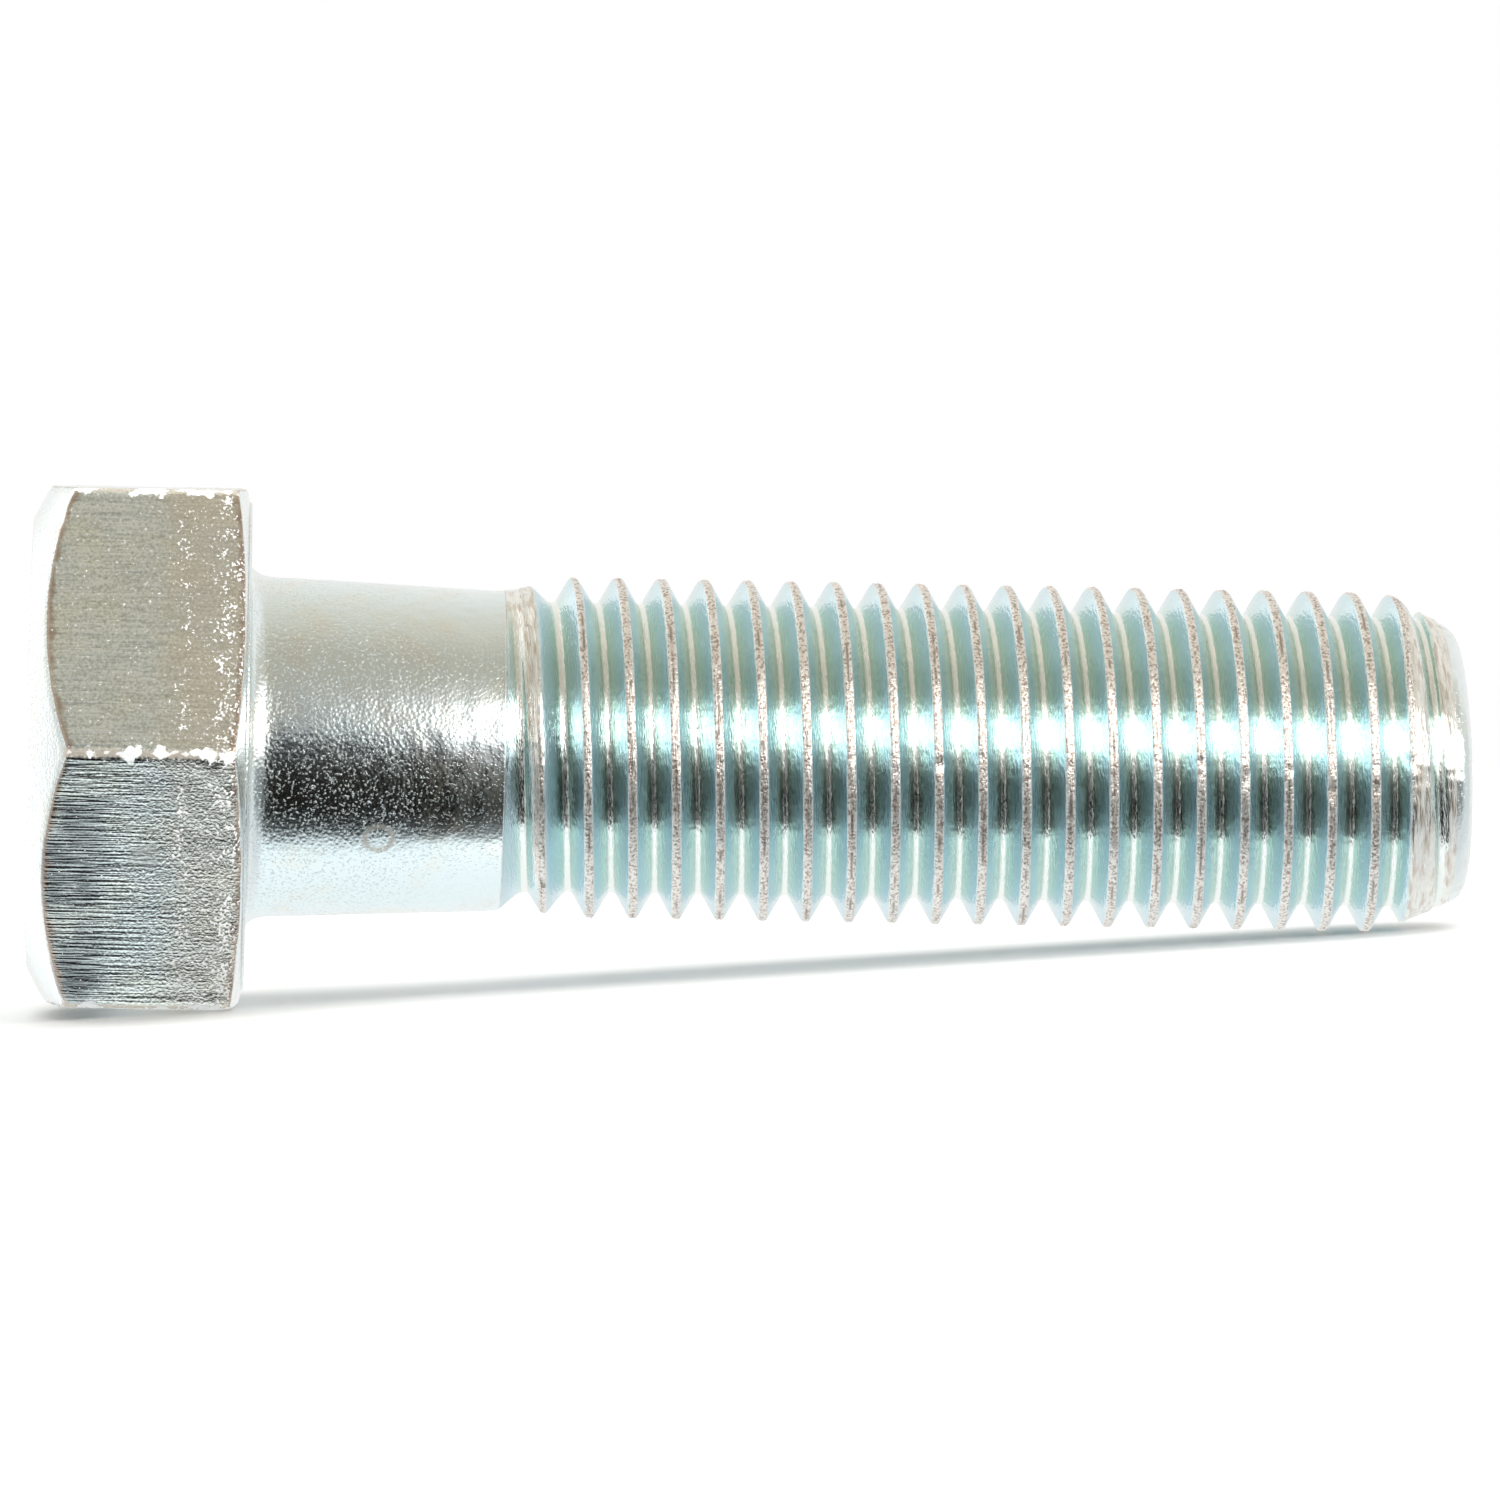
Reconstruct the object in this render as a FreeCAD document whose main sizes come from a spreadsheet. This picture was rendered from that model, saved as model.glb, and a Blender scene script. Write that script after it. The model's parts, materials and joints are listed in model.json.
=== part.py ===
import FreeCAD, Part

import math
import os
import Sketcher

# Hex bolt M20 x 2.5 x 70, partly threaded, cold headed and rolled from one piece of steel wire.
# The bolt lies along X. Its bearing face is at X = 0, with the head towards -X and the point towards +X.
# Two flats of the head face +Z and -Z, and a corner faces -Y. All sizes are in millimetres or degrees.
SIZES = {
    "nominal_diameter": 20,
    "nominal_length": 70,
    # head, with the insets measured inwards from the flats
    "across_flats": 29.6,
    "head_height": 12.5,
    "head_chamfer_inset": 1.8,
    "head_chamfer_angle": 30,
    "washer_face_inset": 0.7,
    "washer_face_height": 0.15,
    "back_chamfer_angle": 12,
    "chamfer_crown_radius": 40,
    # shank, cylindrical below the head and then drawn down to the diameter that the thread is rolled on
    "underhead_fillet": 0.8,
    "shank_allowance": 0.4,
    "shank_straight": 4,
    "shank_length": 15.4,
    "rolling_allowance": 0.2,
    # thread, with the allowances taken off the diameters of the basic profile, and its first full groove
    # measured from the end of the shank
    "pitch": 2.5,
    "flank_angle": 30,
    "crest_allowance": 0.35,
    "pitch_allowance": 0.126,
    "root_radius": 0.32,
    "first_groove": 0.75,
    "lead_in_angle": 12,
    "runout_turns": 0.5,
    # point
    "point_depth": 2.2,
    "point_angle": 28,
    "point_rounding": 0.9,
}

# How far a cut starts outside the metal that it takes away.
OVERLAP = 0.1

# Lengths worked out from the sheet, as expressions that sketches and features are bound to.
HALF_FLATS = "Bolt.across_flats / 2"
HALF_SIDE = "Bolt.across_flats / 2 * tan(30)"
CORNER = "Bolt.across_flats / 2 / cos(30)"
SHANK_RADIUS = "(Bolt.nominal_diameter - Bolt.shank_allowance) / 2"
CREST_RADIUS = "(Bolt.nominal_diameter - Bolt.crest_allowance) / 2"
SHARP_HEIGHT = "Bolt.pitch / 2 / tan(Bolt.flank_angle)"
PITCH_RADIUS = f"(Bolt.nominal_diameter - 3 / 4 * {SHARP_HEIGHT} - Bolt.pitch_allowance) / 2"
ROLLING_RADIUS = f"({PITCH_RADIUS} + Bolt.rolling_allowance / 2)"
SHARP_RADIUS = f"({PITCH_RADIUS} - Bolt.pitch / 4 / tan(Bolt.flank_angle))"
ROOT_CENTRE = f"({SHARP_RADIUS} + Bolt.root_radius / sin(Bolt.flank_angle))"
POINT_RADIUS = f"({CREST_RADIUS} - Bolt.point_depth)"


def add_sheet(document):
    """One row for each driving size: its name, and its value, which has the name as its alias."""
    sheet = document.addObject("Spreadsheet::Sheet", "Bolt")
    for row, (name, value) in enumerate(SIZES.items(), start=1):
        sheet.set(f"A{row}", name)
        sheet.set(f"B{row}", str(value))
        sheet.setAlias(f"B{row}", name)
    document.recompute()


def origin_feature(body, role):
    return next(feature for feature in body.Origin.OriginFeatures if feature.Role == role)


def add_sketch(body, name, plane, *outlines):
    """A sketch on one of the body's origin planes, with one closed outline or more."""
    sketch = body.newObject("Sketcher::SketchObject", name)
    sketch.AttachmentSupport = [(origin_feature(body, plane), "")]
    sketch.MapMode = "FlatFace"
    for corners in outlines:
        add_outline(sketch, corners)
    return sketch


def add_outline(sketch, corners):
    """A closed outline whose corners are bound to expressions: (across, up), or (across, up, radius).

    With a radius, the side that leaves the corner is an arc, and its centre is on the left if that is positive.
    """
    points = [FreeCAD.Vector(*(evaluate(sketch, size) for size in corner[:2])) for corner in corners]
    sides = []
    for corner, start, end in zip(corners, points, points[1:] + points[:1]):
        if len(corner) == 2:
            side = sketch.addGeometry(Part.LineSegment(start, end), False)
            sides.append((side, 1, 2))
            continue
        radius = evaluate(sketch, corner[2])
        side = sketch.addGeometry(arc_between(start, end, radius), False)
        sides.append((side, 1, 2) if radius > 0 else (side, 2, 1))
        bind(sketch, f"abs({corner[2]})", "Radius", side, abs(radius))
    for i, (corner, point) in enumerate(zip(corners, points)):
        side, start, _ = sides[i]
        previous, _, end = sides[i - 1]
        sketch.addConstraint(Sketcher.Constraint("Coincident", previous, end, side, start))
        if corner[0] == "0":
            sketch.addConstraint(Sketcher.Constraint("PointOnObject", side, start, -2))
        else:
            bind(sketch, corner[0], "DistanceX", side, start, point.x)
        if corner[1] == "0":
            sketch.addConstraint(Sketcher.Constraint("PointOnObject", side, start, -1))
        else:
            bind(sketch, corner[1], "DistanceY", side, start, point.y)


def evaluate(sketch, expression):
    return float(sketch.evalExpression(expression))


def bind(sketch, expression, *constraint):
    """Adds a constraint to the sketch, with its size bound to an expression."""
    index = sketch.addConstraint(Sketcher.Constraint(*constraint))
    sketch.setExpression(f"Constraints[{index}]", expression)


def arc_between(start, end, radius):
    """The shorter arc from start to end, with its centre on the left of that way if the radius is positive."""
    chord = end - start
    to_left = FreeCAD.Vector(-chord.y, chord.x, 0).normalize()
    centre_distance = math.copysign(math.sqrt(radius**2 - (chord.Length / 2) ** 2), radius)
    centre = (start + end) * 0.5 + to_left * centre_distance
    circle = Part.Circle(centre, FreeCAD.Vector(0, 0, 1), abs(radius))
    ends = (start, end) if radius > 0 else (end, start)
    return Part.ArcOfCircle(circle, *(math.atan2(p.y - centre.y, p.x - centre.x) for p in ends))


def add_turned(body, kind, name, profile, **expressions):
    """A feature that goes round the bolt's axis, with its properties bound to expressions."""
    feature = body.newObject(f"PartDesign::{kind}", name)
    feature.Profile = profile
    feature.ReferenceAxis = (origin_feature(body, "X_Axis"), [""])
    for size, expression in expressions.items():
        feature.setExpression(size, expression)
    return feature


def add_head(body):
    """A hexagonal prism with a chamfer on its top, and a washer face and a chamfer on its back.

    Both chamfers are slightly crowned, as the dies leave them.
    """
    hexagon = [
        (CORNER, "0"),
        (HALF_SIDE, HALF_FLATS),
        (f"-({HALF_SIDE})", HALF_FLATS),
        (f"-({CORNER})", "0"),
        (f"-({HALF_SIDE})", f"-({HALF_FLATS})"),
        (HALF_SIDE, f"-({HALF_FLATS})"),
    ]
    prism = body.newObject("PartDesign::Pad", "HeadPrism")
    prism.Profile = add_sketch(body, "HeadHexagon", "YZ_Plane", hexagon)
    prism.Reversed = True
    prism.setExpression("Length", "Bolt.head_height")

    outside = f"{CORNER} + {OVERLAP}"
    top = "-Bolt.head_height"
    top_radius = f"{HALF_FLATS} - Bolt.head_chamfer_inset"
    back = "-Bolt.washer_face_height"
    washer_radius = f"{HALF_FLATS} - Bolt.washer_face_inset"
    top_chamfer = [
        (top, top_radius, "-Bolt.chamfer_crown_radius"),
        (f"{top} + ({outside} - ({top_radius})) * tan(Bolt.head_chamfer_angle)", outside),
        (top, outside),
    ]
    back_chamfer = [
        ("0", washer_radius),
        (back, washer_radius, "Bolt.chamfer_crown_radius"),
        (f"{back} - ({outside} - ({washer_radius})) * tan(Bolt.back_chamfer_angle)", outside),
        ("0", outside),
    ]
    profiles = add_sketch(body, "HeadChamferProfiles", "XZ_Plane", top_chamfer, back_chamfer)
    add_turned(body, "Groove", "HeadChamfers", profiles)


def add_shank(body):
    """The shank with its fillet and taper, the blank that the thread is cut in, and the rounded point."""
    lead_in = f"({CREST_RADIUS} - {ROLLING_RADIUS}) / tan(Bolt.lead_in_angle)"
    point_length = "Bolt.point_depth / tan(Bolt.point_angle)"
    rounded = "Bolt.point_rounding * tan(45 - Bolt.point_angle / 2)"
    half_profile = [
        ("0", "0"),
        ("0", f"{SHANK_RADIUS} + Bolt.underhead_fillet", "Bolt.underhead_fillet"),
        ("Bolt.underhead_fillet", SHANK_RADIUS),
        ("Bolt.shank_straight", SHANK_RADIUS),
        ("Bolt.shank_length", ROLLING_RADIUS),
        (f"Bolt.shank_length + {lead_in}", CREST_RADIUS),
        (f"Bolt.nominal_length - {point_length}", CREST_RADIUS),
        (
            f"Bolt.nominal_length - {rounded} * cos(Bolt.point_angle)",
            f"{POINT_RADIUS} + {rounded} * sin(Bolt.point_angle)",
            "-Bolt.point_rounding",
        ),
        ("Bolt.nominal_length", f"{POINT_RADIUS} - {rounded}"),
        ("Bolt.nominal_length", "0"),
    ]
    add_turned(body, "Revolution", "Blank", add_sketch(body, "BlankProfile", "XZ_Plane", half_profile))


def add_thread(body):
    """A right-hand groove with a rounded root, which leaves the metal over its last half turn at the shank.

    The profile is on the lower side of the bolt, in the first groove that has its full depth.
    """
    outside = f"({CREST_RADIUS} + {OVERLAP})"
    half_mouth = f"(Bolt.pitch / 4 + ({outside} - {PITCH_RADIUS}) * tan(Bolt.flank_angle))"
    half_root = "Bolt.root_radius * cos(Bolt.flank_angle)"
    root_start = f"({ROOT_CENTRE} - Bolt.root_radius * sin(Bolt.flank_angle))"
    middle = "Bolt.shank_length + Bolt.first_groove"
    groove = [
        (f"{middle} - {half_mouth}", f"-{outside}"),
        (f"{middle} - {half_root}", f"-{root_start}", "-Bolt.root_radius"),
        (f"{middle} + {half_root}", f"-{root_start}"),
        (f"{middle} + {half_mouth}", f"-{outside}"),
    ]
    profile = add_sketch(body, "GrooveProfile", "XZ_Plane", groove)
    turns = f"(Bolt.nominal_length - ({middle})) / Bolt.pitch + 1"
    rise = f"({ROLLING_RADIUS} - {ROOT_CENTRE} + Bolt.root_radius + {OVERLAP})"
    runout_angle = f"atan({rise} / (Bolt.runout_turns * Bolt.pitch))"
    thread = add_turned(body, "SubtractiveHelix", "Thread", profile)
    runout = add_turned(body, "SubtractiveHelix", "ThreadRunout", profile, Angle=runout_angle)
    runout.Reversed = True
    for helix, count in ((thread, turns), (runout, "Bolt.runout_turns")):
        helix.Mode = "pitch-turns-angle"
        helix.Refine = False
        helix.setExpression("Pitch", "Bolt.pitch")
        helix.setExpression("Turns", count)


def check(document, body):
    """Stops if a feature failed, if a cut took nothing away or if the bolt isn't one valid solid."""
    for item in document.Objects:
        if "Invalid" in item.State or "Error" in item.State:
            raise RuntimeError(f"{item.Name} failed: {item.State}")
    for feature in body.Group:
        if feature.TypeId in ("PartDesign::Groove", "PartDesign::SubtractiveHelix"):
            if feature.Shape.Volume >= feature.BaseFeature.Shape.Volume:
                raise RuntimeError(f"{feature.Name} took nothing away")
    if body.Shape.isNull() or not body.Shape.isValid() or len(body.Shape.Solids) != 1:
        raise RuntimeError(f"{body.Label} isn't one valid solid")


document = FreeCAD.newDocument("hex_bolt")
add_sheet(document)
bolt = document.addObject("PartDesign::Body", "HexBolt")
bolt.Label = "hex_bolt"
bolt.Placement = FreeCAD.Placement()
add_head(bolt)
add_shank(bolt)
add_thread(bolt)
document.recompute()
check(document, bolt)
os.makedirs("parts", exist_ok=True)
bolt.Shape.exportStep(f"parts/{bolt.Label}.step")
print(f"{bolt.Label}: volume {bolt.Shape.Volume:.0f} mm3, box {bolt.Shape.optimalBoundingBox()}")
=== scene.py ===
import json
import math

import bmesh
import bpy
import numpy as np
from mathutils import Matrix, Vector


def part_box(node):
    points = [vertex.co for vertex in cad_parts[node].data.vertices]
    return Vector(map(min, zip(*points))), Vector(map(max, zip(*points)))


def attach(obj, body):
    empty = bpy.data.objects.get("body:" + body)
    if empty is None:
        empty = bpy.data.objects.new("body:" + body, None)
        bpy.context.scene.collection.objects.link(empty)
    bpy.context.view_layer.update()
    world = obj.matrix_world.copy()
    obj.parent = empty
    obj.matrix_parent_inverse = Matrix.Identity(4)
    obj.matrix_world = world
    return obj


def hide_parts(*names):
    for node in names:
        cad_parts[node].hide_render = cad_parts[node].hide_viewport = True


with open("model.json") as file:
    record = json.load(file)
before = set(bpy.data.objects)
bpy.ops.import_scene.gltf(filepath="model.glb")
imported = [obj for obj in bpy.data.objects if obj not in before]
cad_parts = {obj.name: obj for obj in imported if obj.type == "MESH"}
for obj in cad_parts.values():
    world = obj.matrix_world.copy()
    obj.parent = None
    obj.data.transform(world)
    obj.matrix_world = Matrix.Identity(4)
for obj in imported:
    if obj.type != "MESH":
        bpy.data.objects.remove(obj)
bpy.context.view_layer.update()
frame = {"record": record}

# HEAD. A hexagon head upset cold from steel wire: a washer face and two chamfers formed by the dies, and
# six flats sheared to size afterwards by a trimming die, which drags fine lines along them and burrs their
# rims. Sizes here and below are in millimetres, and the mesh is made in metres at the end.
MM = 0.001
low, high = (np.array(corner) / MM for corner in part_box("hex_bolt"))
HEAD_HEIGHT = -low[0]
HALF_FLATS = high[2]
TOP_RADIUS = HALF_FLATS - 1.8
TOP_CHAMFER = math.tan(math.radians(30))
WASHER_RADIUS = HALF_FLATS - 0.7
WASHER_HEIGHT = 0.15
BACK_CHAMFER = math.tan(math.radians(12))
CHAMFER_CROWN, BACK_CROWN_SHARE = 0.08, 0.3
CORNER_ROUNDING = 0.28
KNOCK_SHARE = 0.3
RIM_ROUNDING, LEAST_RIM_ROUNDING = 0.3, 0.1
RIM_ALONG, RIM_INWARDS = 0.5, 0.87
TOP_BULGE = 0.06
DRAG_DEPTH, DRAG_STRETCH = 0.012, 0.12
TEAR_DEPTH, TEAR_START, TEAR_FULL = 0.022, -5.0, -1.5

# The columns of the mesh go once round the bolt, from its top over the near side, and close up at the
# head's six corners. The last column lies on the first.
COLUMNS = 156
CORNER_CROWDING = 0.55
even_turn = np.linspace(0, 2 * np.pi, COLUMNS + 1)
turn = even_turn - CORNER_CROWDING / 6 * np.sin(6 * (even_turn - np.pi / 6))


def ripple(x, y, z, size, seed, waves=20):
    """A smooth random height of about unit spread.

    It is the sum of plane sine waves, about size mm long, in random directions.
    """
    rng = np.random.default_rng(seed)
    direction = rng.normal(size=(waves, 3))
    direction /= np.linalg.norm(direction, axis=1)[:, None]
    direction *= 2 * np.pi / size * rng.uniform(0.7, 1.5, (waves, 1))
    phase = rng.uniform(0, 2 * np.pi, waves)
    total = np.zeros(np.broadcast(x, y, z).shape)
    for (a, b, c), shift in zip(direction, phase):
        total += np.sin(a * x + b * y + c * z + shift)
    return total * math.sqrt(2 / waves)


def soft_min(a, b, size):
    """The smaller of two heights, less a parabola that rounds their crossing off over size."""
    return np.minimum(a, b) - np.maximum(size - np.abs(a - b), 0) ** 2 / (4 * size)


def smooth(value, start, end):
    """0 before start, 1 after end and an S-curve between."""
    share = np.clip((value - start) / (end - start), 0, 1)
    return share * share * (3 - 2 * share)


def place(x, radius):
    """Points at x along the bolt and at radius from its axis, in every column's direction."""
    x, radius = np.broadcast_arrays(x, radius)
    return x, -radius * np.sin(turn), radius * np.cos(turn)


def hexagon_radius(x):
    """Distance from the axis to the flats: half the width over the cosine from the nearest flat's middle.

    At a corner two flats meet in a soft minimum, whose size grows where the edge was knocked.
    """
    from_flat = np.abs((turn + np.pi / 6) % (np.pi / 3) - np.pi / 6)
    nearest = HALF_FLATS / np.cos(from_flat)
    second = HALF_FLATS / np.cos(np.pi / 3 - from_flat)
    knocks = np.clip(ripple(*place(x, HALF_FLATS), 1.1, 11), 0, 2)
    return soft_min(nearest, second, CORNER_ROUNDING * (1 + KNOCK_SHARE * knocks))


def crown(radius, start):
    """Bulge of a chamfer: a flat arc, highest half way to the corners."""
    share = (radius - start) / (HALF_FLATS / math.cos(math.pi / 6) - start)
    return CHAMFER_CROWN * 4 * share * (1 - share)


def top_chamfer(radius):
    """Place along the bolt of the chamfer round the head's top: a cone and its bulge."""
    return -HEAD_HEIGHT + (radius - TOP_RADIUS) * TOP_CHAMFER - crown(radius, TOP_RADIUS)


def back_chamfer(radius):
    """Place along the bolt of the flatter chamfer round the washer face: a cone and a smaller bulge."""
    bulge = BACK_CROWN_SHARE * crown(radius, WASHER_RADIUS)
    return -WASHER_HEIGHT - (radius - WASHER_RADIUS) * BACK_CHAMFER + bulge


def rim_wear(x, radius, distance, seed):
    """How far a rim is worn in: falls off with the square of the distance from it, and varies along it."""
    size = RIM_ROUNDING * (1 + 0.35 * ripple(*place(x, radius), 1.3, seed))
    size = np.maximum(size, LEAST_RIM_ROUNDING)
    return np.maximum(size - distance, 0) ** 2 / (4 * size)


# Rows from the middle of the head's top out to its flats, along them, and in again to the washer face.
share = np.array([0, 0.05, 0.25, 0.5, 0.75, 0.92, 0.985])[:, None]
top_face = (-HEAD_HEIGHT + TOP_BULGE * (1 - share**2) + 0 * turn, share * TOP_RADIUS + 0 * turn)

flat_edge = hexagon_radius(-HEAD_HEIGHT * 0.85)
share = np.array([0, 0.03, 0.15, 0.35, 0.55, 0.72, 0.86, 0.95])[:, None]
chamfer_radius = TOP_RADIUS + share * (flat_edge - TOP_RADIUS)
chamfer_x = top_chamfer(chamfer_radius)
wear = rim_wear(chamfer_x, chamfer_radius, flat_edge - chamfer_radius, 12)
chamfer = (chamfer_x + RIM_ALONG * wear, chamfer_radius - RIM_INWARDS * wear)

share = [0, 0.006, 0.015, 0.03, *np.linspace(0.055, 0.945, 30), 0.97, 0.985, 0.994, 1]
share = np.array(share)[:, None]
back_edge = hexagon_radius(-HEAD_HEIGHT * 0.1)
start = top_chamfer(flat_edge)
end = back_chamfer(back_edge)
flat_x = start + share * (end - start)
flat_radius = hexagon_radius(flat_x)
front_wear = rim_wear(flat_x, flat_radius, flat_x - start, 12)
back_wear = rim_wear(flat_x, flat_radius, end - flat_x, 13)
drag = ripple(DRAG_STRETCH * flat_x, *place(flat_x, flat_radius)[1:], 1.1, 14)
torn = smooth(flat_x, TEAR_START, TEAR_FULL) * ripple(*place(flat_x, flat_radius), 0.9, 15)
flats = (
    flat_x + RIM_ALONG * front_wear - RIM_ALONG * back_wear,
    flat_radius - RIM_INWARDS * (front_wear + back_wear) - DRAG_DEPTH * drag - TEAR_DEPTH * torn,
)

share = np.array([0.04, 0.12, 0.3, 0.6, 0.9, 0.985])[:, None]
back_radius = back_edge + share * (WASHER_RADIUS - back_edge)
back_x = back_chamfer(back_radius)
wear = rim_wear(back_x, back_radius, back_edge - back_radius, 13)
back = (back_x - RIM_ALONG * wear, back_radius - RIM_INWARDS * wear)

# SHANK. The wire under the head, extruded down to a slight taper so that the thread can be rolled on its
# end. Its skin is the wire's own, bright zinc over fine pits, smoother towards the thread.
mounts = {mount["name"]: mount for mount in frame["record"]["mounts"]}
SHANK_RADIUS = mounts["shank"]["dims"]["r_mm"]
FILLET, FILLET_LENGTH = 0.8, 1.3
TAPER_START, TAPER_ROUNDING = 1.6, 0.12
THREAD_LENGTH = mounts["thread"]["dims"]["length_mm"]
SHANK_END = high[0] - THREAD_LENGTH
BLANK_RADIUS = 9.225
DIE_EDGE = SHANK_END - 0.75
SKIN_HEIGHT = 0.006

washer_rows = np.array([
    (-WASHER_HEIGHT, WASHER_RADIUS),
    (-0.05, WASHER_RADIUS),
    (0, WASHER_RADIUS - 0.06),
    (0, WASHER_RADIUS - 0.3),
    (0, 12.6),
    (0, 11.4),
])
washer_face = (washer_rows[:, :1] + 0 * turn, washer_rows[:, 1:] + 0 * turn)
angle = np.linspace(0, np.pi / 2, 7)[:, None]
fillet = (
    FILLET_LENGTH * (1 - np.cos(angle)) + 0 * turn,
    SHANK_RADIUS + FILLET * (1 - np.sin(angle)) + 0 * turn,
)


def shank_radius(x):
    """The extruded wire: a cylinder that turns into a straight taper down to the thread's blank."""
    taper = (SHANK_RADIUS - BLANK_RADIUS) / (DIE_EDGE - TAPER_START)
    return soft_min(SHANK_RADIUS, SHANK_RADIUS - (x - TAPER_START) * taper, TAPER_ROUNDING)


shank_x = [*np.linspace(FILLET_LENGTH, DIE_EDGE - 0.12, 46)[1:], DIE_EDGE - 0.05]
shank_x = np.array(shank_x)[:, None] + 0 * turn
skin = ripple(*place(shank_x, SHANK_RADIUS), 1.2, 21) * smooth(shank_x, FILLET_LENGTH, 2.0)
shank = (shank_x, shank_radius(shank_x) + SKIN_HEIGHT * skin)

# THREAD. Rolled between two flat dies, right hand: the metal is pressed out of the groove and up into the
# crest, which stays rough and doesn't quite close. The dies' edge leaves a line round the shank, the groove
# leaves the metal over its first half turn, and the whole thread sits a little above the head's centre.
CREST_RADIUS = mounts["thread"]["dims"]["r_mm"]
PITCH = 2.5
SHARP_RADIUS = 8.043
ROOT_DEPTH = 0.32
FLANK_SLOPE = 1 / math.tan(math.radians(30))
FIRST_GROOVE = SHANK_END + 0.75
LEAD_IN = math.tan(math.radians(12))
POINT_CONE = math.tan(math.radians(28))
POINT_DEPTH = 2.2
POINT_START = high[0] - POINT_DEPTH / POINT_CONE
THREAD_END = high[0] - 0.95
BLANK_ROUNDING, POINT_ROUNDING, CREST_ROUNDING = 0.1, 0.3, 0.16
OFF_CENTRE = 0.3
RIDGE_PITCH, RIDGE_HEIGHT, WAVE_HEIGHT = 0.9, 0.02, 0.012
SEAM_WIDTH, SEAM_DEPTH = 0.07, 0.035
GRAIN_HEIGHT, NICK_DEPTH = 0.018, 0.12


def thread_surface(x):
    """Radius, distance across the groove from its middle, and the shares of raw crest and of blank.

    The groove is a V with a rounded bottom: the fourth root of the sum of the fourth powers of its
    flank's height and its root's depth. It is cut off by the rolled blank, which rises from the shank to
    the crest and falls again at the point. Where it leaves the metal, it rises and its shank side leans.
    Ridges run round the blank's slopes, and the crest has a seam, nicks and a rough top.
    """
    along = (x - FIRST_GROOVE) / PITCH - (turn - np.pi) / (2 * np.pi)
    sides = []
    distances = []
    for groove in (np.floor(along), np.floor(along) + 1):
        across = (along - groove) * PITCH
        turns = groove + turn / (2 * np.pi)
        lean = np.clip(0.76 + 0.5 * (turns - 0.5), 0.3, FLANK_SLOPE)
        slope = np.where(across < 0, lean, FLANK_SLOPE)
        rise = np.maximum(0.5 - turns, 0) * 2
        sides.append(SHARP_RADIUS + rise + ((across * slope) ** 4 + ROOT_DEPTH**4) ** 0.25)
        distances.append(np.abs(across))
    across = np.where(sides[0] < sides[1], distances[0], distances[1])
    sides = np.minimum(sides[0], sides[1])
    blank = BLANK_RADIUS + np.maximum(x - SHANK_END, 0) * LEAD_IN
    blank = soft_min(blank, CREST_RADIUS, BLANK_ROUNDING)
    blank = soft_min(blank, CREST_RADIUS - (x - POINT_START) * POINT_CONE, POINT_ROUNDING)
    skin = smooth(sides - blank, -0.10, 0.02)
    crest = skin * smooth(blank, BLANK_RADIUS + 0.1, BLANK_RADIUS + 0.4)
    where = place(x, blank)
    run_out = 1 - smooth(blank, BLANK_RADIUS + 0.1, CREST_RADIUS - 0.1)
    ridges = RIDGE_HEIGHT * np.cos(2 * np.pi * (x - DIE_EDGE) / RIDGE_PITCH)
    ridges = run_out * (ridges + WAVE_HEIGHT * ripple(*where, 1.8, 34))
    seam = np.exp(-(((across - PITCH / 2) / SEAM_WIDTH) ** 2)) * (0.6 + 0.6 * ripple(*where, 3.0, 31))
    nicks = np.maximum(ripple(*where, 1.6, 32) - 1.7, 0) * NICK_DEPTH
    rough = GRAIN_HEIGHT * ripple(*where, 0.8, 33) + SEAM_DEPTH * seam + nicks
    radius = soft_min(sides, blank - rough + ridges, CREST_ROUNDING)
    return radius, across, crest, skin


# Rows follow the groove: each has its own place across it, as a share of the pitch, and goes once round
# while it climbs by one pitch. Before the thread's start and past its end they are held back on a plain
# ring, where they meet and are merged.
half_places = np.array([0.045, 0.07, 0.095, 0.13, 0.17, 0.27, 0.365, 0.385, 0.415, 0.455])
places = np.concatenate([[0], half_places, [0.5], 1 - half_places[::-1]])
first = (DIE_EDGE - FIRST_GROOVE) / PITCH - 0.5
last = first + 1 + (THREAD_END - DIE_EDGE) / PITCH
rows = (np.arange(math.floor(first), math.ceil(last) + 1)[:, None] + places).ravel()
rows = rows[(rows > first) & (rows < last)]
rows = np.concatenate([[first], rows, [last]])[:, None]
thread_x = FIRST_GROOVE + (rows + (turn - np.pi) / (2 * np.pi)) * PITCH
thread_x = np.clip(thread_x, DIE_EDGE, THREAD_END)
thread_radius, across_groove, crest_share, blank_share = thread_surface(thread_x)

# POINT. The chamfer on the wire's cropped end. Rolling has pushed faint ridges over it and rounded its rim,
# and the crop wasn't quite square.
END_BULGE, END_ROUGHNESS = 0.12, 0.03
CROP_LENGTH, CROP_SLOPE = 0.15, 0.048
angle = np.radians([12, 26, 42, 60, 78, 90])[:, None]
rim_size = high[0] - THREAD_END
rim_x = THREAD_END + rim_size * np.sin(angle) + 0 * turn
rim_inset = rim_size * (1 - np.cos(angle)) + 0.25 * np.sin(angle)
rim_radius = thread_surface(np.full_like(turn, THREAD_END))[0] - rim_inset
share = np.array([0.93, 0.8, 0.6, 0.4, 0.2, 0.07, 0])[:, None]
end_radius = rim_radius[-1] * share
end_grain = ripple(*place(high[0], end_radius), 3.5, 41)
end_x = high[0] + END_BULGE * (1 - share**2) + END_ROUGHNESS * end_grain

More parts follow.
